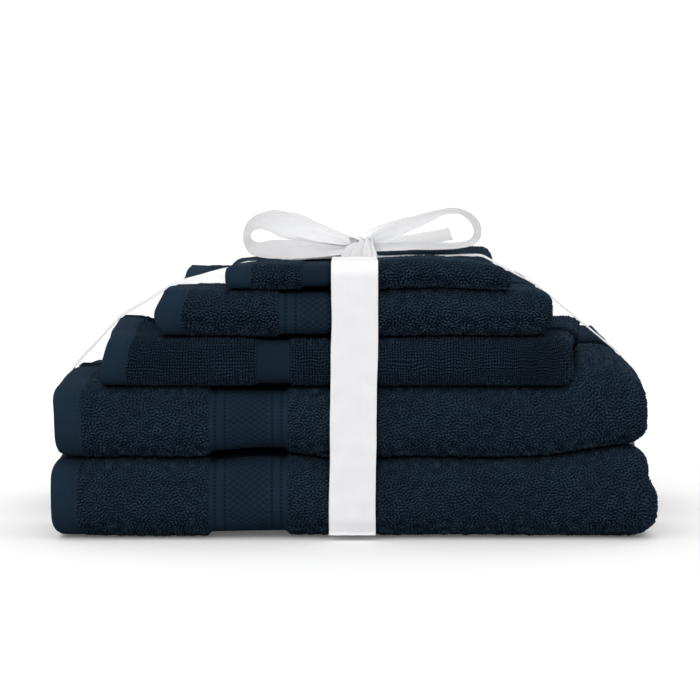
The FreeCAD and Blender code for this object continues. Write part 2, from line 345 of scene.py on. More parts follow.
def satin_material(name, through, white):
    """White polyester satin: smooth floats along the ribbon, a soft gloss across it, and woven edges.

    through is how much of the light passes through the cloth, and white how pale its colour is; the bow's
    copy is given a paler white as painted light.
    """
    n = Nodes(name)
    place, along, across = n.cloth_axes()
    streaks = n.add("ShaderNodeCombineXYZ")
    n.link(n.times(along, 9.0), streaks.inputs[0])
    n.link(n.times(across, 900.0), streaks.inputs[1])
    thread = n.noise(streaks.outputs[0], 1.0, 3.0, 0.6)
    cloud = n.noise(place, 60.0, 2.0)
    edge = n.attribute("edge")
    paler = white + 0.03
    body = n.colours(cloud, [(0.3, (white, white, paler)), (0.7, (paler, paler, white + 0.05))])
    tone = n.remap(thread, 0.3, 0.7, 0.975, 1.0)
    colour = n.mix(1.0, body, tone, "MULTIPLY")
    n.link(n.mix(edge, colour, (0.86, 0.86, 0.90, 1.0)), n.shader.inputs["Base Color"])
    n.link(n.remap(thread, 0.3, 0.7, 0.36, 0.46), n.shader.inputs["Roughness"])
    n.constants({
        "Specular IOR Level": 0.45, "Anisotropic": 0.5, "Sheen Weight": 0.15, "Sheen Roughness": 0.35,
        "Subsurface Weight": through, "Subsurface Radius": (1.0, 1.0, 1.0), "Subsurface Scale": 3.0 * MM,
    })
    n.link(n.bump(thread, 0.05 * MM, 0.6), n.shader.inputs["Normal"])
    return n.material


TERRY = terry_material("navy_terry", 900.0)
MAT_TERRY = terry_material("navy_mat_terry", 1300.0)
# Two copies of one satin: the bow's is more translucent and is also painted paler, as painted light on the
# bow.
SATIN = satin_material("white_satin", 0.33, 0.885)            # lies against the towels
BOW_SATIN_PAINTED_PALER = satin_material("white_satin_bow_painted_paler", 0.95, 0.94)    # stands free, so light comes through it


# -------- folding a cloth

def which_part(starts, distance):
    """The number of the part that each distance falls in. The first and the last part have no outer limit."""
    return np.maximum(np.searchsorted(starts, distance, side="right") - 1, 0)


class Path:
    """A line of straight runs and half-turns in one plane, followed by distance."""

    def __init__(self):
        self.parts = []
        self.length = 0.0

    def add(self, kind, length, follow):
        self.parts.append((kind, self.length, length, follow))
        self.length += length

    def run(self, start, direction, length):
        def follow(d):
            return np.array(start) + d[:, None] * np.array(direction), np.array(direction)

        self.add("run", length, follow)

    def turn(self, centre, radius, start_angle, sweep, length):
        """An arc, which takes up length of the cloth whatever its radius."""
        def follow(d):
            angle = start_angle + sweep * d / length
            ray = np.stack([np.cos(angle), np.sin(angle)], -1)
            return np.array(centre) + radius * ray, np.sign(sweep) * np.stack([-ray[:, 1], ray[:, 0]], -1)

        self.add("turn", length, follow)

    def at(self, distance):
        """The point, and the direction of travel, at each distance."""
        point = np.zeros(distance.shape + (2,))
        heading = np.zeros(distance.shape + (2,))
        number = which_part([part[1] for part in self.parts], distance)
        for k, (kind, start, length, follow) in enumerate(self.parts):
            inside = number == k
            point[inside], heading[inside] = follow(distance[inside] - start)
        return point, heading


def length_path(left, right, layer, order):
    """The cloth's way along X, folded into layers. Its plane is (x, height above the outermost face).

    order is the layers in the order that the cloth visits them.
    """
    path = Path()
    reach = max(abs(a - b) for a, b in zip(order, order[1:])) * layer / 2 + layer / 2
    heights = [(k + 0.5) * layer for k in order]
    x = left
    for k, height in enumerate(heights):
        going_right = k % 2 == 0
        way = 1.0 if going_right else -1.0
        last = k == len(heights) - 1
        if last:
            end = right - INNER_END if going_right else left + INNER_END
        else:
            end = right - reach if going_right else left + layer
        path.run((x, height), (way, 0.0), abs(end - x))
        if not last:
            step = heights[k + 1] - height
            radius = abs(step) / 2
            up = np.sign(step)
            length = pi * max(radius, layer / 2)
            path.turn((end, height + step / 2), radius, -up * pi / 2, up * way * pi, length)
        x = end
    return path


class FoldedTowel:
    """A cloth folded lengthwise into layers, then folded again so that one round fold faces the front.

    Along the cloth, u runs from the hem, and v across it. thirds says that the second fold has three parts.
    """

    def __init__(self, node, order, thirds, border, shape):
        self.node = node
        low, high = cad_box(node)
        self.left, self.front = low[:2]
        self.right, self.back = high[:2]
        self.material = MAT_TERRY if node == "bath_mat" else TERRY
        self.border = border
        self.thirds = thirds
        self.shape = shape
        self.height = shape["height"]
        self.block = self.height / (3 if thirds else 2)
        self.layer = self.block / len(order)
        self.lengthwise = length_path(self.left, self.right, self.layer, order)
        self.first_turn = self.lengthwise.parts[1][1]
        self.turn_end = self.first_turn + self.lengthwise.parts[1][2]
        self.fold_radius = self.height / 2
        self.crosswise()

    def crosswise(self):
        """Where each stretch of the cloth's width lies: (kind, start, length)."""
        straight = self.back - self.front - self.fold_radius
        front_turn = pi * (self.fold_radius - self.block / 2)
        back_turn = pi * self.block / 2
        lengths = [("front_fold", front_turn), ("over", straight)]
        if self.thirds:
            lower = straight - self.block
            lengths = [("inner", lower - INNER_EDGE), ("back_fold", back_turn), ("under", lower)] + lengths
        else:
            lengths = [("under", straight)] + lengths
        self.width = 0.0
        self.stretches = []
        for kind, length in lengths:
            self.stretches.append((kind, self.width, length))
            self.width += length

    def stretch(self, kind):
        for name, start, length in self.stretches:
            if name == kind:
                return start, start + length

    def across(self, v, h):
        """The (y, z) of each point of the folded block, h being how far it is in from its outer face."""
        y = np.zeros(v.shape)
        z = np.zeros(v.shape)
        fold_y = self.front + self.fold_radius
        number = which_part([start for kind, start, length in self.stretches], v)
        for k, (kind, start, length) in enumerate(self.stretches):
            inside = number == k
            d = v[inside] - start
            hh = h[inside]
            turned = pi * d / length
            if kind == "inner":
                place = fold_y + INNER_EDGE + d, 2 * self.block - hh
            elif kind == "back_fold":
                centre, radius = self.back - self.block, self.block - hh
                place = centre + radius * np.sin(turned), self.block + radius * np.cos(turned)
            elif kind == "under":
                place = fold_y + length - d, hh
            elif kind == "front_fold":
                radius = self.fold_radius - hh
                place = fold_y - radius * np.sin(turned), self.fold_radius - radius * np.cos(turned)
            else:
                place = fold_y + d, self.height - hh
            y[inside], z[inside] = place
        return y, z

    def place(self, u, v, w):
        """The folded place of each point of the cloth, w out from its middle surface."""
        point, heading = self.lengthwise.at(u)
        x = point[..., 0] + heading[..., 1] * w
        h = point[..., 1] - heading[..., 0] * w
        y, z = self.across(v, h)
        return self.settle(x, y, z)

    def settle(self, x, y, z):
        """How the folded block sags and puffs as it lies in the set."""
        s = self.shape
        t = z / self.height
        side = np.abs(2 * t - 1)
        round_depth = 1 - np.sqrt(np.clip(1 - side ** 2, 0, 1))
        full_depth = 1 - np.clip(1 - side ** s["fullness"], 0, 1) ** (1 / s["fullness"])
        near_front = 1 - smooth(self.front + self.fold_radius, self.front + 4 * self.fold_radius, y)
        y = y - self.fold_radius * (round_depth - full_depth) * near_front
        y = y + near_front * FRONT_WAVE * wave_noise(s["seed"], x, t * 40.0, 90.0)
        start, width = self.border[1:]
        thin = between(self.left + start, self.left + start + width, 2.0, x)
        thin = thin * (1 - smooth(self.front + 2 * self.fold_radius, self.front + 5 * self.fold_radius, y))
        t = 0.5 + (t - 0.5) * (1 - s["border_sag"] / self.height * thin)
        to_left = 1 - smooth(self.left, self.left + 60.0, x)
        to_right = smooth(self.right - 60.0, self.right, x)
        x = x + to_left * s["left_end"](t, y) + to_right * s["right_end"](t, y)
        x = x + (to_left + to_right) * 1.2 * wave_noise(s["seed"] + 1, y, t * 30.0, 70.0)
        x = x + s["pinch"] * (to_left - to_right) * near(RIBBON_Y, 24.0, y)
        low = s["under"](x, y)
        high = s["over"](x, y)
        return np.stack([x, y, low + t * (high - low)], -1)


# -------- how each towel lies

LOWER = cad_box("bath_towel_lower")
UPPER = cad_box("bath_towel_upper")
MAT = cad_box("bath_mat")
HAND = cad_box("hand_towel")
WASHER = cad_box("face_washer")
KNOT = cad_box("bow_knot")
ARM = cad_box("ribbon_front_arm")
RIBBON_X = (ARM[0][0] + ARM[1][0]) / 2
RIBBON_Y = (KNOT[0][1] + KNOT[1][1]) / 2
PINCH = 4.0               # how far the ribbon draws in the ends of the bath towels
MAT_PUFF = 8.5            # how far the mat's left end stands up where nothing lies on it


def ground(x, y):
    """Flat on the surface, but for the front fold's lower edge, which lifts a little here and there."""
    front_edge = 1 - smooth(LOWER[0][1] + 4.0, LOWER[0][1] + 34.0, y)
    return 0.5 + 1.3 * front_edge * (1 + wave_noise(30, x, y * 0.3, 120.0))


def over_lower(x, y):
    return UPPER[0][2] - 0.2 + 1.3 * wave_noise(31, x, y * 0.4, 85.0) + 5.5 * smooth(105.0, 168.0, x)


def over_upper(x, y):
    """Pressed flat under the mat, and puffed up against the mat's two ends."""
    flat = MAT[0][2] - 0.2 + 0.7 * wave_noise(32, x, y, 100.0)
    depth = depth_in(UPPER, y)
    mat_right = MAT[1][0] - 18.0 * (1 - depth)
    mat_left = MAT[0][0] + 7.0 * (1 - depth)
    lift = smooth(-0.15, 0.30, depth)
    slope = 1 - 0.42 * smooth(mat_right + 14.0, UPPER[1][0], x)
    held = 1 - 0.16 * near(RIBBON_Y, 24.0, y)
    right = smooth(mat_right - 7.0, mat_right + 5.0, x) * slope * held * (5.0 + 17.5 * lift)
    left = smooth(-mat_left - 4.0, -mat_left + 10.0, -x) * 8.0 * near(RIBBON_Y, 58.0, y)
    return flat + right + left


def under_mat(x, y):
    return np.full(x.shape, MAT[0][2] + 0.2)


def over_mat(x, y):
    """Its left end stands up a little where nothing lies on it, and meets the ribbon."""
    puff = smooth(112.0, 132.0, -x) * near(RIBBON_Y, 60.0, y)
    flat = HAND[0][2] - 0.2 + 0.7 * wave_noise(33, x, y, 80.0)
    return flat + MAT_PUFF * puff


def over_hand(x, y):
    flat = WASHER[0][2] - 0.2 + 0.7 * wave_noise(34, x, y, 80.0) - 1.2 * smooth(100.0, 118.0, x)
    back = 3.5 + 3.0 * smooth(40.0, 75.0, -x) - 1.2 * smooth(75.0, 100.0, x)
    return flat + back * smooth(20.0, 90.0, y)


def over_washer(x, y):
    """The ribbon presses a hollow into the top, which stands higher at the back and on the right."""
    hollow = 1.6 * near(RIBBON_Y, 26.0, y)
    rise = 1.2 * smooth(-30.0, 50.0, x) + 2.2 * smooth(5.0, 45.0, y) * smooth(0.0, 30.0, x)
    rise = rise + 1.3 * smooth(8.0, 24.0, x) * (1 - smooth(44.0, 60.0, x)) * smooth(16.0, 34.0, RIBBON_Y - y)
    back_corner = smooth(18.0, 46.0, y)
    rise = rise + 2.2 * back_corner * smooth(45.0, 80.0, x)
    ends = 4.0 * smooth(62.0, 92.0, x) * (1 - 0.9 * back_corner) + 2.2 * smooth(45.0, 76.0, -x)
    return WASHER[1][2] - 1.2 - hollow + rise - ends + 0.5 * wave_noise(35, x, y, 60.0)


def depth_in(box, y):
    """0 at the front of a towel's box and 1 at its back."""
    return (y - box[0][1]) / (box[1][1] - box[0][1])


def round_end(depth, radius, reach):
    """How far a rounded end stands back at depth below its top, or above its bottom."""
    s = np.clip(1 - depth / radius, 0, 0.985)
    return reach * (1 - np.sqrt(1 - s ** 2))


def lower_left(t, y):
    return round_end(48 * (1 - t), 12, 6) + round_end(48 * t, 12, 5)


def lower_right(t, y):
    """Two bulges, the lower one fuller, with a waist between them."""
    waist = near(0.56, 0.08, t)
    rounds = round_end(48 * t, 14, 8) + round_end(48 * (1 - t), 12, 7)
    return 1.8 - 5.0 * smooth(0.50, 0.70, t) - 1.2 * waist - rounds


def upper_right(t, y):
    depth = depth_in(UPPER, y)
    rise = round_end(42 * (1 - t), 17, 10) * (1 - 0.4 * depth)
    return -1.0 + 1.5 * np.sin(pi * np.clip(t, 0, 1)) - rise - round_end(42 * t, 12, 6)


def upper_left(t, y):
    return round_end(42 * (1 - t), 10, 3.5) + round_end(42 * t, 12, 5) - 1.5 * smooth(0.6, 1.0, t)


def mat_left(t, y):
    """The hemmed end leans back a little from the lowest layer to the top one, and fans out to the back."""
    depth = depth_in(MAT, y)
    return 4.2 * (1 - depth) + 4.0 * smooth(0.15, 1.0, t) - 2.5 + round_end(29 * (1 - t), 9, 3)


def mat_right(t, y):
    depth = depth_in(MAT, y)
    fold = round_end(29 * (1 - t), 15, 6) * depth
    return 9.0 * depth - 18.5 * (1 - depth) - 3.0 * smooth(0.6, 1.0, t) * (1 - depth) - fold


def hand_left(t, y):
    return 5.5 * smooth(0.45, 1.0, t) + 3.5 * smooth(0.35, 0.0, t)


def hand_right(t, y):
    return -6.0 * smooth(0.3, 0.0, t) - 3.0 * smooth(0.8, 1.0, t)


def washer_left(t, y):
    return round_end(16 * (1 - t), 9, 4) + round_end(16 * t, 6, 2)


def washer_right(t, y):
    return -3.0 * smooth(0.5, 1.0, t)


def shape(node_box, under, over, left_end, right_end, fullness, seed, sag, top=None):
    """How one towel lies: the surfaces under and over it, its two ends, and how full its front fold is.

    seed picks its random waves, and sag is how much thinner it is at its woven border.
    """
    height = (node_box[1][2] if top is None else top) - node_box[0][2]
    return {
        "height": height, "under": under, "over": over, "left_end": left_end, "right_end": right_end,
        "fullness": fullness, "seed": seed, "border_sag": sag,
        "pinch": PINCH if node_box is LOWER or node_box is UPPER else 0.8,
    }


QUARTERS = [0, 3, 2, 1]       # folded in half twice
THIRDS = [0, 1, 2]
HALVES = [0, 1]


def resting_on(over, left=-np.inf, right=np.inf):
    """The underside of a towel that lies on another's top, which is carried on level past left and right."""
    return lambda x, y: over(np.clip(x, left, right), y) + 0.4


TOWELS = [
    FoldedTowel(
        "bath_towel_lower", QUARTERS, True, ("honeycomb", 92.0, 46.0),
        shape(LOWER, ground, over_lower, lower_left, lower_right, 2.5, 41, 3.8)),
    FoldedTowel(
        "bath_towel_upper", QUARTERS, True, ("honeycomb", 89.0, 46.0),
        shape(
            UPPER, resting_on(over_lower), over_upper, upper_left, upper_right, 2.45, 43, 4.4,
            top=MAT[0][2])),
    FoldedTowel(
        "bath_mat", THIRDS, False, ("ribbed", 93.0, 20.0),
        shape(MAT, under_mat, over_mat, mat_left, mat_right, 2.5, 45, 1.6)),
    FoldedTowel(
        "hand_towel", QUARTERS, False, ("honeycomb", 71.5, 44.0),
        shape(HAND, resting_on(over_mat, -138, 118), over_hand, hand_left, hand_right, 2.4, 47, 2.6)),
    FoldedTowel(
        "face_washer", HALVES, False, ("ribbed", 45.5, 26.0),
        shape(
            WASHER, resting_on(over_hand, -100, 100), over_washer, washer_left, washer_right, 2.4, 49, 1.4)),
]


# -------- the woven sheet of each towel

def grid_steps(parts, fine_ends, coarse, turn_count):
    """Distances for a grid over (kind, start, length) parts: fine near the ends of the straight ones."""
    steps = []
    for kind, start, length in parts:
        end = start + length
        if kind in ("turn", "front_fold", "back_fold"):
            steps.append(np.linspace(start, end, turn_count))
        else:
            count = max(2, int((length - 2 * fine_ends) / coarse))
            from_end = np.arange(0, fine_ends, 2.0)
            middle = np.linspace(start + fine_ends, end - fine_ends, count)
            steps += [start + from_end, middle, end - from_end]
    return np.unique(np.round(np.concatenate(steps), 4))


def half_thickness(towel, u, v):
    """Half of the cloth's thickness: thin at the hems, rounded off at every edge."""
    length, width = towel.lengthwise.length, towel.width
    from_end = np.minimum(u, length - u)
    from_side = np.minimum(v, width - v)
    full = towel.layer / 2 - 0.15
    hem = full - 0.5 * FLAT_STEP
    thick = hem + (full - hem) * smooth(HEM - 1.0, HEM + 1.5, from_end)
    edge = np.minimum(from_end, from_side)
    return thick * np.sqrt(np.clip(1 - (1 - np.clip(edge / 2.0, 0.06, 1)) ** 2, 0.0, 1.0))


def towel_mesh(towel, part, points, quads, u, v, pile, flat):
    """A mesh of one towel, from points at u along and v across its cloth."""
    cloth = np.stack([u, v], 1) * MM
    return make_mesh(towel.node + part, points, quads, cloth, {"pile": pile, "flat": flat}, towel.material)


def woven_sheet(towel):
    """The whole cloth of one towel, folded, as one closed mesh."""
    along = grid_steps([part[:3] for part in towel.lengthwise.parts], 20.0, 20.0, 13)
    u, v = np.meshgrid(along, grid_steps(towel.stretches, 14.0, 16.0, 17), indexing="ij")
    half = half_thickness(towel, u, v)
    looped = 1 - smooth(towel.turn_end - 2.0, towel.turn_end + 6.0, u)
    outer = half - looped * (PILE - 0.55) * half / (towel.layer / 2)
    quads = closed_quads(*u.shape)
    w = np.concatenate([outer.ravel(), -half.ravel()])
    u, v = np.tile(u.ravel(), 2), np.tile(v.ravel(), 2)
    flat = 1 - smooth(HEM - 1.0, HEM + 1.0, np.minimum(u, towel.lengthwise.length - u))
    return towel_mesh(towel, "_cloth", towel.place(u, v, w), quads, u, v, 0.45 + 0.25 * flat, flat)


# -------- the loops and the woven borders

def honeycomb_height(u, v):
    """Raised lozenges with thin sunk outlines, each row set off by half a lozenge."""
    a = u / 4.9
    b = v / 4.4
    outline = np.abs(np.cos(pi * (a + b)) * np.cos(pi * (a - b)))
    return 0.35 + 0.65 * smooth(0.0, 0.45, outline)


def border_height(kind, width, u, v):
    """The height of a woven border's pattern, 0 to 1, at u along and v across it."""
    if kind == "ribbed":
        ribs = 0.5 + 0.5 * np.cos(2 * pi * u / 1.55)
        picks = 0.5 + 0.5 * np.cos(2 * pi * v / 1.9)
        return 0.35 + 0.4 * ribs * (0.6 + 0.4 * picks)
    cells = honeycomb_height(u, v)
    lines = np.ones(u.shape)
    for place in (3.8, 9.6, width - 9.0, width - 3.6):
        dots = smooth(0.35, 0.75, 0.5 + 0.5 * np.cos(2 * pi * v / 2.8))
        lines -= near(place, 0.75, u) * (0.25 + 0.75 * dots)
    middle = smooth(11.0, 12.5, u) * (1 - smooth(width - 12.0, width - 10.5, u))
    return np.clip(0.75 * lines * (1 - middle) + 0.80 * cells * middle, 0, 1)


def loop_height(towel, u, v):
    """The height of the loops, 0 to 1. The mat's stand in straight rows, the others' lie every way."""
    if towel.node == "bath_mat":
        bend = 0.8 * wave_noise(71, u, v, 13.0)
        rows = 0.5 + 0.5 * np.cos(2 * pi * (v / 1.95 + bend * 0.45))
        columns = 0.5 + 0.5 * np.cos(2 * pi * (u / 1.6 + bend * 0.3))
        grain = sample_tile(LOOPS, u * 1.2, v * 1.2)
        return np.clip(0.12 + 0.38 * rows + 0.40 * columns + 0.20 * grain, 0, 1.1)
    seed_shift = 37.0 * towel.shape["seed"]
    loops = sample_tile(LOOPS, u + seed_shift, v)
    clumps = sample_tile(CLUMPS, u + seed_shift, v)
    start, end = towel.stretch("front_fold")
    # towards the top of the front fold the loops lie flatter; the higher pile value there also gets less
    # painted pit shade, so it is painted lighter, as light on the top of the fold
    calm = 0.4 * smooth(start + 0.75 * (end - start), start + 1.15 * (end - start), v)
    return (smooth(-1.3, 1.5, loops) * (0.85 + 0.1 * clumps) + 0.1) * (1 - calm) + 0.7 * calm


def surface(towel, u, v):
    """How far the surface stands out, how high its pile is, and whether it is flat-woven."""
    loops = loop_height(towel, u, v)
    out = PILE * loops
    kind, start, width = towel.border
    end = start + width
    wander = 0.35 * wave_noise(73, v, u * 0.0, 12.0)
    in_border = smooth(start - 0.5, start + 0.7, u + wander) * (1 - smooth(end - 0.7, end + 0.5, u + wander))
    in_hem = 1 - smooth(HEM - 0.8, HEM + 0.8, u + wander)
    pattern = border_height(kind, width, u - start, v)
    stitch = np.exp(-((u - HEM + 2.2) / 0.5) ** 2) * (0.5 + 0.5 * np.sign(np.sin(2 * pi * v / 3.2)))
    hem_out = PILE - FLAT_STEP + 0.25 - 0.2 * stitch
    border_out = PILE - FLAT_STEP - 0.4 + 0.75 * pattern
    looped = 1 - in_border - in_hem
    out = out * looped + border_out * in_border + hem_out * in_hem
    # the material paints low pile darker, so this also sets painted shade in the sunk outlines, dotted lines
    # and stitches
    pile = loops * looped + (0.25 + 0.75 * pattern) * in_border + (0.85 - 0.2 * stitch) * in_hem
    return out, pile, in_border + in_hem


def covered(towel, v, points, margin):
    """Which points of a towel's top lie under the towel above, at least margin inside its edges."""
    k = TOWELS.index(towel)
    if k + 1 == len(TOWELS):
        return np.zeros(len(points), bool)
    above = TOWELS[k + 1]
    x, y = points[:, 0], points[:, 1]
    leaning = 1.0 if above.node == "bath_mat" else 0.0
    inside = (x > above.left + margin + 8.0 * leaning) & (x < above.right - margin - 22.0 * leaning)
    inside &= (y > above.front + margin + 8.0) & (y < above.back - margin + 4.0)
    return inside & (v > towel.stretch("over")[0])


def shown(towel, u, v, points):
    """Which points of the outer skin can be seen: not those under the towel above, nor on the underside."""
    under = towel.stretch("under")
    beneath = (v > under[0] + 10.0) & (v < under[1] - 14.0) & (u < towel.first_turn - 2.0)
    return ~(covered(towel, v, points, 12.0) | beneath)


def pressed(points):
    """1 where the ribbon lies on the loops, 0 away from it."""
    x, y = points[:, 0], points[:, 1]
    half = RIBBON_WIDTH / 2
    lengthwise_run = 1 - smooth(half - 0.5, half + 2.5, np.abs(x - RIBBON_X))
    crosswise_run = 1 - smooth(half - 0.5, half + 2.5, np.abs(y - RIBBON_Y))
    return np.maximum(lengthwise_run, crosswise_run)


def pile_skin(towel):
    """The looped outer face of the towel: its top, its round front fold, its back fold and its right end."""
    fine = SKIN_STEP
    u_steps = np.arange(0.0, towel.turn_end + 6.0, fine)
    scale = (towel.height / 2) / (towel.height / 2 - towel.block / 2)
    steps = {
        "inner": fine * 2.0, "back_fold": fine * 0.55, "under": fine * 1.3, "front_fold": fine / scale * 0.9,
    }
    v_parts = [
        np.arange(start, start + length, steps[kind])
        for kind, start, length in towel.stretches if kind != "over"]
    start, end = towel.stretch("over")
    v_parts.append(np.arange(start, start + 22.0, fine))
    v_parts.append(np.arange(start + 22.0, end - 0.2, fine * 1.2))
    u, v = np.meshgrid(u_steps, np.concatenate(v_parts), indexing="ij")
    quads = grid_quads(*u.shape)
    # the front fold's outer face is longer than its middle, so the pattern follows the outer face
    start, end = towel.stretch("front_fold")
    outer_v = v + np.clip(v - start, 0, end - start) * (scale - 1)
    if towel.thirds:
        start, end = towel.stretch("back_fold")
        outer_v = outer_v + np.clip(v - start, 0, end - start)
    u, v, outer_v = u.ravel(), v.ravel(), outer_v.ravel()
    out, pile, flat = surface(towel, u, outer_v)
    edge = np.minimum(np.minimum(u, towel.turn_end + 6.0 - u), towel.width - v)
    tuck = 1.6 * (1 - smooth(0.0, 1.6, edge))
    height = towel.layer / 2 - GROUND + out - tuck
    height = height - 1.1 * pressed(towel.place(u, v, height))
    points = towel.place(u, v, height)
    seen = shown(towel, u, v, points)
    if towel.thirds:
        seen &= ~((v < towel.stretch("back_fold")[0] - 3.0) & (u < towel.first_turn - 2.0))
    quads = quads[seen[quads].all(axis=1)]
    return towel_mesh(towel, "_loops", points, quads, u, outer_v, pile, flat)


def pressed_pile(towel):
    """The loops that the towel above presses flat."""
    start, end = towel.stretch("over")
    u_steps = np.arange(1.0, towel.turn_end, PRESSED_STEP)
    v_steps = np.arange(start, end, PRESSED_STEP)
    u, v = np.meshgrid(u_steps, v_steps, indexing="ij")
    quads = grid_quads(*u.shape)
    u, v = u.ravel(), v.ravel()
    pile, flat = surface(towel, u, v)[1:]
    pile = np.where(flat > 0.5, pile, 0.55 + 0.12 * wave_noise(75, u, v, 5.0))
    height = towel.layer / 2 - GROUND + PILE * 0.50
    points = towel.place(u, v, np.full(len(u), height))
    quads = quads[covered(towel, v, points, 9.0)[quads].all(axis=1)]
    return towel_mesh(towel, "_pressed", points, quads, u, v, pile, flat)


for towel, below in zip(TOWELS, ["ribbon_underside"] + [towel.node for towel in TOWELS]):
    cloth_piece = woven_sheet(towel)
    loops_pieces = [pile_skin(towel)]
    if towel is not TOWELS[-1]:
        loops_pieces.append(pressed_pile(towel))
    for piece in [cloth_piece] + loops_pieces:
        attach(piece, towel.node)
    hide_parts(towel.node)


# -------- the ribbon

KNOT_X, KNOT_Y = (KNOT[0][:2] + KNOT[1][:2]) / 2
KNOT_FOOT = np.array([KNOT_X, KNOT_Y, KNOT[0][2]])
KNOT_HALF = (KNOT[1] - KNOT[0]) / 2
SPLIT = ARM[0][2]
CLEAR = 0.8               # from a towel's CAD face to the ribbon's middle, over the tips of its loops


def taut_line(rounds, step=1.5):
    """A line pulled tight round the left side of (a, b, radius) rounds: its points and outward directions."""
    centres = [np.array(r[:2], float) for r in rounds]
    radii = [r[2] + CLEAR for r in rounds]
    normals = []
    for k in range(len(rounds) - 1):
        run = centres[k + 1] - centres[k]
        along = run / np.hypot(*run)
        lean = (radii[k] - radii[k + 1]) / np.hypot(*run)
        normals.append(along * lean + np.array([-along[1], along[0]]) * np.sqrt(1 - lean ** 2))
    points, outward = [], []
    for k, normal in enumerate(normals):
        if k:
            bend = np.arccos(np.clip(normals[k - 1] @ normal, -1, 1))
            for t in np.linspace(0, 1, max(3, int(bend * radii[k] / step)))[1:-1]:
                ray = normals[k - 1] * (1 - t) + normal * t
                ray = ray / np.hypot(*ray)
                points.append(centres[k] + ray * radii[k])
                outward.append(ray)
        start = centres[k] + normal * radii[k]
        end = centres[k + 1] + normal * radii[k + 1]
        for t in np.linspace(0, 1, max(2, int(np.hypot(*(end - start)) / step))):
            points.append(start + t * (end - start))
            outward.append(normal)
    apart = np.hypot(*np.diff(points, axis=0).T) > 0.1 * step
    kept = np.concatenate([[True], apart])
    return np.array(points)[kept], np.array(outward)[kept]


def along_length(points):
    steps = np.linalg.norm(np.diff(points, axis=0), axis=1)
    return np.concatenate([[0.0], np.cumsum(steps)])


def ribbon_piece(node, middle, side, out, width=None, folds=None, body="ribbon", cut=0.0, suffix=""):
    """A strip of ribbon with its middle line at middle, its width along side and its face towards out.

    width scales the ribbon's width at each point, folds(distance, q) lifts it, q being -1 to 1 across it, and
    cut makes its far end slanted.
    """
    q = np.sin(np.linspace(-pi / 2, pi / 2, 31)) * 0.7 + np.linspace(-1, 1, 31) * 0.3
    distance = along_length(middle)
    half = RIBBON_WIDTH / 2 * (np.ones(len(middle)) if width is None else width)
    s, qq = np.meshgrid(distance, q, indexing="ij")
    flutter = 0.25 * wave_noise(len(node), s, qq * 8, 22.0) * qq ** 2
    lift = 0.5 * flutter + 0.12 * wave_noise(len(node) + 1, s, qq * 14, 12.0)
    if folds is not None:
        lift = lift + folds(s, qq)
    edge_wave = 1 + 0.012 * wave_noise(len(node) + 2, s, np.sign(qq) * 50, 30.0)
    reach = qq * half[:, None] * edge_wave
    centre = middle[:, None, :] + side[:, None, :] * reach[..., None] + out[:, None, :] * lift[..., None]
    if cut:
        end = smooth(distance[-1] - 26.0, distance[-1], s)
        along = unit(np.gradient(middle, axis=0))
        centre = centre + along[:, None, :] * (cut * reach * end)[..., None]
    normal = unit(np.cross(np.gradient(centre, axis=1), np.gradient(centre, axis=0)))
    thick = RIBBON_THICKNESS / 2
    points = np.concatenate([
        (centre + normal * thick).reshape(-1, 3),
        (centre - normal * thick).reshape(-1, 3),
    ])
    cloth = np.stack([s.ravel(), (qq * RIBBON_WIDTH / 2).ravel()], 1) * MM
    edge = smooth(0.90, 0.95, np.abs(qq)).ravel()
    piece = make_mesh(
        node + "_satin" + suffix, points, closed_quads(*s.shape), np.tile(cloth, (2, 1)),
        {"edge": np.tile(edge, 2)}, BOW_SATIN_PAINTED_PALER if node.startswith("bow") else SATIN)
    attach(piece, body)
    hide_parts(node)


def lengthwise(rounds):
    """A run of ribbon over the front or the back, from (y, z, radius) rounds."""
    flat, ray = taut_line(rounds)
    x = RIBBON_X + 0.9 * smooth(0, 1, (flat[:, 1] - 60.0) / 80.0) - 0.7 * (1 - smooth(0, 80.0, flat[:, 1]))
    middle = np.stack([x, flat[:, 0], flat[:, 1]], 1)
    side = np.tile([1.0, 0.0, 0.0], (len(flat), 1))
    return middle, side, np.stack([0 * ray[:, 0], ray[:, 0], ray[:, 1]], 1)


def crosswise(rounds, lean=0.0):
    """A run of ribbon over one end, from (x, z, radius) rounds. lean turns its front edge in."""
    flat, ray = taut_line(rounds)
    middle = np.stack([flat[:, 0], 0 * flat[:, 0] + KNOT_Y, flat[:, 1]], 1)
    out = np.stack([ray[:, 0], 0 * ray[:, 0], ray[:, 1]], 1)
    free = np.abs(ray[:, 0] * ray[:, 1]) * 2
    side = np.array([0.0, -1.0, 0.0]) - out * (lean * free)[:, None]
    return middle, unit(side), out


def corner(box, radius, right=False):
    """The round inside the upper corner of a towel's box, on its left or its right."""
    if right:
        return (box[1][0] - radius, box[1][2] - radius, radius)
    return (box[0][0] + radius, box[1][2] - radius, radius)


STACK_FRONT, STACK_BACK = LOWER[0][1], LOWER[1][1]
TOP = WASHER[1][2] - 1.2

ribbon_piece("ribbon_front_arm", *lengthwise([
    (STACK_FRONT + 2.2, 3.5, 0),
    (STACK_FRONT + 12, 13.5, 12),
    (STACK_FRONT + 7.6, TOP - 7.6, 7.6),
    (KNOT_Y - KNOT_HALF[1] + 3, TOP, 0),
]))
ribbon_piece("ribbon_back_arm", *lengthwise([
    (KNOT_Y + KNOT_HALF[1] - 3, TOP, 0),
    (WASHER[1][1] - 3, WASHER[1][2] - 3, 3),
    (STACK_BACK - 4, HAND[1][2] - 2, 4),
    (STACK_BACK, 8.0, 0),
]))


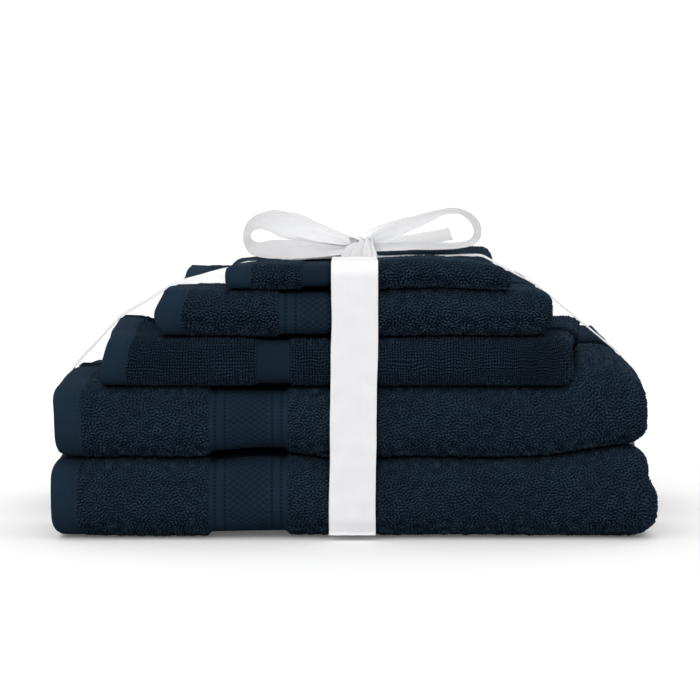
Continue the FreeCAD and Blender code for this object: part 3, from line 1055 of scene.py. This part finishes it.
def drooped(middle, side, out):
    """The left arm where it crosses the hand towel: its front edge drops down the end of the face washer."""
    x = middle[:, 0]
    washer_end, hand_end = WASHER[0][0] + 2, HAND[0][0]
    past_washer = smooth(-washer_end - 3, -washer_end + 5, -x)
    on_hand = np.clip((x - hand_end - 3) / (washer_end - hand_end - 8), 0, 1)
    drop = 9.0 * past_washer * on_hand
    middle = middle - np.stack([0 * x, 0 * x, drop / 2], 1)
    side = unit(side - np.stack([0 * x, 0 * x, drop / RIBBON_WIDTH], 1))
    return middle, side, unit(np.cross(np.gradient(middle, axis=0), side))


LEFT_END = LOWER[0][0] + PINCH
RIGHT_END = LOWER[1][0] - 1.0          # its loops bulge out round the ribbon here
ribbon_piece("ribbon_left_arm", *drooped(*crosswise([
    (LEFT_END, 9.0, 0),
    (LEFT_END + 8, UPPER[0][2] - 8, 8),
    (UPPER[0][0] + 7, 91.5, 6),
    (MAT[0][0] + 9.5, MAT[1][2] + MAT_PUFF - 4, 4),
    corner(HAND, 9),
    (WASHER[0][0] + 13, TOP - 11.5, 8),
    (KNOT_X - KNOT_HALF[0] + 4, TOP, 0),
], lean=0.075)))
ribbon_piece("ribbon_right_arm", *crosswise([
    (KNOT_X + KNOT_HALF[0] - 4, TOP, 0),
    (WASHER[1][0] - 14, TOP - 10, 10.8),
    corner(HAND, 10, right=True),
    (UPPER[1][0] - 17, UPPER[1][2] - 9.5, 12),
    (RIGHT_END - 8, SPLIT + 2.5, 8),
    (RIGHT_END, 9.0, 0),
], lean=0.04))


def underside():
    """The cross under the set, turned up at its four ends. Its two runs are separate strips."""
    rise = SPLIT - 0.3
    low = 0.7 + CLEAR
    ribbon_piece("ribbon_underside", *lengthwise([
        (STACK_BACK - 0.5, rise, 0), (STACK_BACK - 5.5, low + 5, 5),
        (STACK_FRONT + 22.5, low + 22, 22), (STACK_FRONT + 0.5, rise, 0),
    ]), body="bath_towel_lower")
    ribbon_piece("ribbon_underside", *crosswise([
        (RIGHT_END - 0.5, rise, 0), (RIGHT_END - 9.5, low + 9.3, 9),
        (LEFT_END + 9.5, low + 9.3, 9), (LEFT_END + 0.5, rise, 0),
    ]), body="bath_towel_lower", suffix="_crosswise")


underside()


# -------- the bow

def smooth_line(keys, count):
    """A Catmull-Rom line through the rows of keys."""
    keys = np.array(keys, float)
    padded = np.concatenate([2 * keys[:1] - keys[1:2], keys, 2 * keys[-1:] - keys[-2:-1]])
    place = np.linspace(0, len(keys) - 1, count)
    k = np.minimum(place.astype(int), len(keys) - 2)
    t = (place - k)[:, None]
    a, b, c, d = padded[k], padded[k + 1], padded[k + 2], padded[k + 3]
    square = (2 * a - 5 * b + 4 * c - d) * t ** 2
    cube = (3 * b - a - 3 * c + d) * t ** 3
    return 0.5 * (2 * b + (c - a) * t + square + cube)


def square_to(along, side):
    """The directions nearest to side that are square to along."""
    return unit(side - along * np.sum(side * along, axis=1)[:, None])


def bow_piece(node, keys, lean, seed, cut=0.0):
    """A loop or a tail of the bow. Each key is (x, y, z, tilt, gather), measured from the knot's foot.

    tilt is how far the front edge stands above the other, in degrees, and gather how far the ribbon is drawn
    together into pleats.
    """
    line = smooth_line(keys, 26 * len(keys) // 3)
    middle = line[:, :3] + KNOT_FOOT
    tilt = np.radians(line[:, 3])
    gather = np.clip(line[:, 4], 0, 1)
    along = unit(np.gradient(middle, axis=0))
    side = square_to(along, np.stack([np.full(len(tilt), lean), -np.cos(tilt), np.sin(tilt)], 1))
    out = np.cross(along, side)
    distance = along_length(middle)

    def pleats(s, q):
        drawn = np.interp(s, distance, gather)
        wide = np.cos(2.6 * pi * q + 0.7 + 0.02 * s) * 1.5 + np.cos(5.1 * pi * q - 0.4) * 0.7
        crease = 0.35 * wave_noise(seed, s * 0.25, q * 10, 5.0)
        return wide * drawn ** 1.3 + crease * (0.25 + 0.75 * drawn)

    ribbon_piece(node, middle, side, out, width=1 - 0.45 * gather, folds=pleats, cut=cut)


bow_piece("bow_loop_left", [
    (7, 4, 5.5, 30, 1.0), (-2, 3, 6.8, 38, 1.0), (-13, 1, 9.5, 42, 0.8), (-25, -1, 12.7, 42, 0.45),
    (-36, -3, 16.3, 40, 0.15), (-45, -5, 18.7, 39, 0), (-53, -6.5, 21.2, 32, 0), (-60, -7.5, 21.3, 22, 0),
    (-65.5, -8, 19, 14, 0), (-68.8, -8, 14.6, 6, 0), (-69.2, -8, 9.6, -4, 0), (-66, -8, 5.8, -12, 0),
    (-59, -9, 4.0, -20, 0), (-48, -9, 3.8, -24, 0), (-35, -8, 3.8, -24, 0.15), (-22, -6, 3.5, -20, 0.45),
    (-11, -3, 3.6, -13, 0.75), (-1, 0, 3.4, -8, 1.0),
], -0.12, 61)
bow_piece("bow_loop_right", [
    (-5, 5, 5.5, 30, 1.0), (3, 4, 7.5, 36, 1.0), (12, 2, 12, 38, 0.8), (23, 0, 16.5, 30, 0.5),
    (33, -1, 20.2, 22, 0.2), (42, -2, 23.6, 17, 0), (52.5, -2.5, 27, 10, 0), (61.5, -3, 26.8, 5, 0),
    (68, -3, 23.2, 4, 0), (71.6, -3, 17.5, 3, 0), (71.3, -3, 11.5, 0, 0), (67, -3, 7.6, -3, 0),
    (57, -2.5, 5.8, -6, 0), (42, -2, 6.0, -10, 0), (29, -1, 6.2, -13, 0.3), (17, 0, 5.6, -15, 0.65),
    (3, 1, 4.2, -10, 1.0),
], 0.12, 62)
bow_piece("bow_tail_right", [
    (4, 8, 3, -6, 1.0), (14, 14, 4.8, -9, 0.6), (28, 23, 7.4, -12, 0.15), (43, 32, 10.0, -13, 0),
    (57, 39, 12.6, -13, 0),
], 0.0, 63, cut=-0.45)
bow_piece("bow_tail_left", [
    (-4, 8, 3, 10, 1.0), (-14, 14, 4, 6, 0.6), (-27, 22, 5, 2, 0.15), (-40, 29, 4.5, 0, 0),
    (-52, 35, 3.0, 0, 0),
], 0.0, 64, cut=0.5)


def knot():
    """The wrap that holds the bow: it rises from the front run, gathers to a neck and goes down behind."""
    line = smooth_line([
        (-1.0, -15.5, -1.4, 0.84), (-1.0, -14.4, 0.8, 0.82), (-0.6, -12.6, 3.6, 0.74), (0.4, -9.6, 6.6, 0.58),
        (1.4, -5.5, 8.8, 0.45), (1.8, -0.5, 9.6, 0.38), (1.6, 4.5, 8.8, 0.45), (1.0, 9.0, 6.0, 0.60),
        (0.5, 11.8, 2.5, 0.72), (0.0, 13.0, -0.6, 0.80),
    ], 70)
    middle = line[:, :3] + KNOT_FOOT
    along = unit(np.gradient(middle, axis=0))
    side = square_to(along, np.tile([0.97, 0.0, 0.22], (len(line), 1)))
    out = np.cross(side, along)
    distance = along_length(middle)

    def pleats(s, q):
        drawn = 1 - np.interp(s, distance, line[:, 3])
        deep = np.cos(3.1 * pi * q + 0.9 + 0.05 * s) * 2.0 + np.cos(6.3 * pi * q - 0.3 - 0.04 * s) * 0.9
        crease = 0.5 * wave_noise(66, s * 0.3, q * 9, 4.0)
        return (deep + crease) * drawn ** 0.8 - 1.6 * q ** 2 * smooth(0.2, 0.6, drawn)

    ribbon_piece("bow_knot", middle, side, out, width=line[:, 3], folds=pleats)


knot()


# -------- floor, light and camera

FLOOR_REACH = 40.0        # metres
FLOOR_PALE = 0.52         # the light that the floor gives back to the set
FLOOR_SEEN = 0.80         # how pale the camera sees it, with FLOOR_GLOW added
FLOOR_GLOW = 0.09
SKY_LOW = 0.48            # the sky's strength at the horizon, overhead, and as the camera's background
SKY_HIGH = 1.38
SKY_SEEN = 1.05
SKY_RISES = 0.15          # the height, as a sine, where the sky begins to brighten
SUN_TOWARDS = (0.14, 0.93, -0.33)
SUN_SPREAD = 60.0         # degrees
SUN_STRENGTH = 1.70

LENS = 133.7
EYE_SIDE = -0.0014        # metres from the middle, in front of the set, and above the floor
EYE_DISTANCE = 1.5
EYE_HEIGHT = 0.210
EYE_TILT = 3.76           # degrees below level


def grey(tone):
    return tone, tone, tone, 1.0


def soft_sun(name, towards, spread, strength):
    """A very wide light from far away, so the floor is as bright far off as near."""
    light = bpy.data.lights.new(name, "SUN")
    light.angle = radians(spread)
    light.energy = strength
    add_object(name, light).rotation_euler = Vector(towards).to_track_quat("-Z", "Y").to_euler()


def studio():
    """A pale floor that reads white, a sky that is brightest overhead, and one wide soft light in front."""
    floor = bpy.data.meshes.new("floor")
    far = FLOOR_REACH
    floor.from_pydata([(-far, -far, 0), (far, -far, 0), (far, far, 0), (-far, far, 0)], [], [(0, 1, 2, 3)])
    n = Nodes("pale_floor")
    to_camera = n.add("ShaderNodeLightPath").outputs["Is Camera Ray"]
    n.link(n.mix(to_camera, grey(FLOOR_PALE), grey(FLOOR_SEEN)), n.shader.inputs["Base Color"])
    n.link(n.mix(to_camera, grey(0.0), grey(FLOOR_GLOW)), n.shader.inputs["Emission Color"])
    n.constants({"Emission Strength": 1.0, "Roughness": 0.8, "Specular IOR Level": 0.0})
    floor.materials.append(n.material)
    add_object("floor", floor)

    world = bpy.data.worlds.new("studio")
    bpy.context.scene.world = world
    world.use_nodes = True
    tree = world.node_tree
    direction, parts, overhead, path, strength = (
        tree.nodes.new("ShaderNode" + kind)
        for kind in ("TexCoord", "SeparateXYZ", "MapRange", "LightPath", "Mix"))
    overhead.interpolation_type = "SMOOTHSTEP"
    for name, value in (("From Min", SKY_RISES), ("To Min", SKY_LOW), ("To Max", SKY_HIGH)):
        overhead.inputs[name].default_value = value
    strength.inputs[3].default_value = SKY_SEEN
    tree.links.new(direction.outputs["Generated"], parts.inputs[0])
    tree.links.new(parts.outputs[2], overhead.inputs["Value"])
    tree.links.new(path.outputs["Is Camera Ray"], strength.inputs[0])
    tree.links.new(overhead.outputs[0], strength.inputs[2])
    background = tree.nodes["Background"]
    background.inputs[0].default_value = (1.0, 1.0, 1.0, 1.0)
    tree.links.new(strength.outputs[0], background.inputs[1])
    soft_sun("front", SUN_TOWARDS, SUN_SPREAD, SUN_STRENGTH)


def camera():
    """A long lens a little above the set, at the middle of its front."""
    view = bpy.data.cameras.new("camera")
    view.sensor_width = 36.0
    view.lens = LENS
    eye = add_object("camera", view)
    eye.location = (EYE_SIDE, cad_bounds[0][1] - EYE_DISTANCE, EYE_HEIGHT)
    eye.rotation_euler = (pi / 2 - radians(EYE_TILT), 0, 0)
    bpy.context.scene.camera = eye


studio()
camera()
bpy.context.scene.view_settings.view_transform = "Standard"
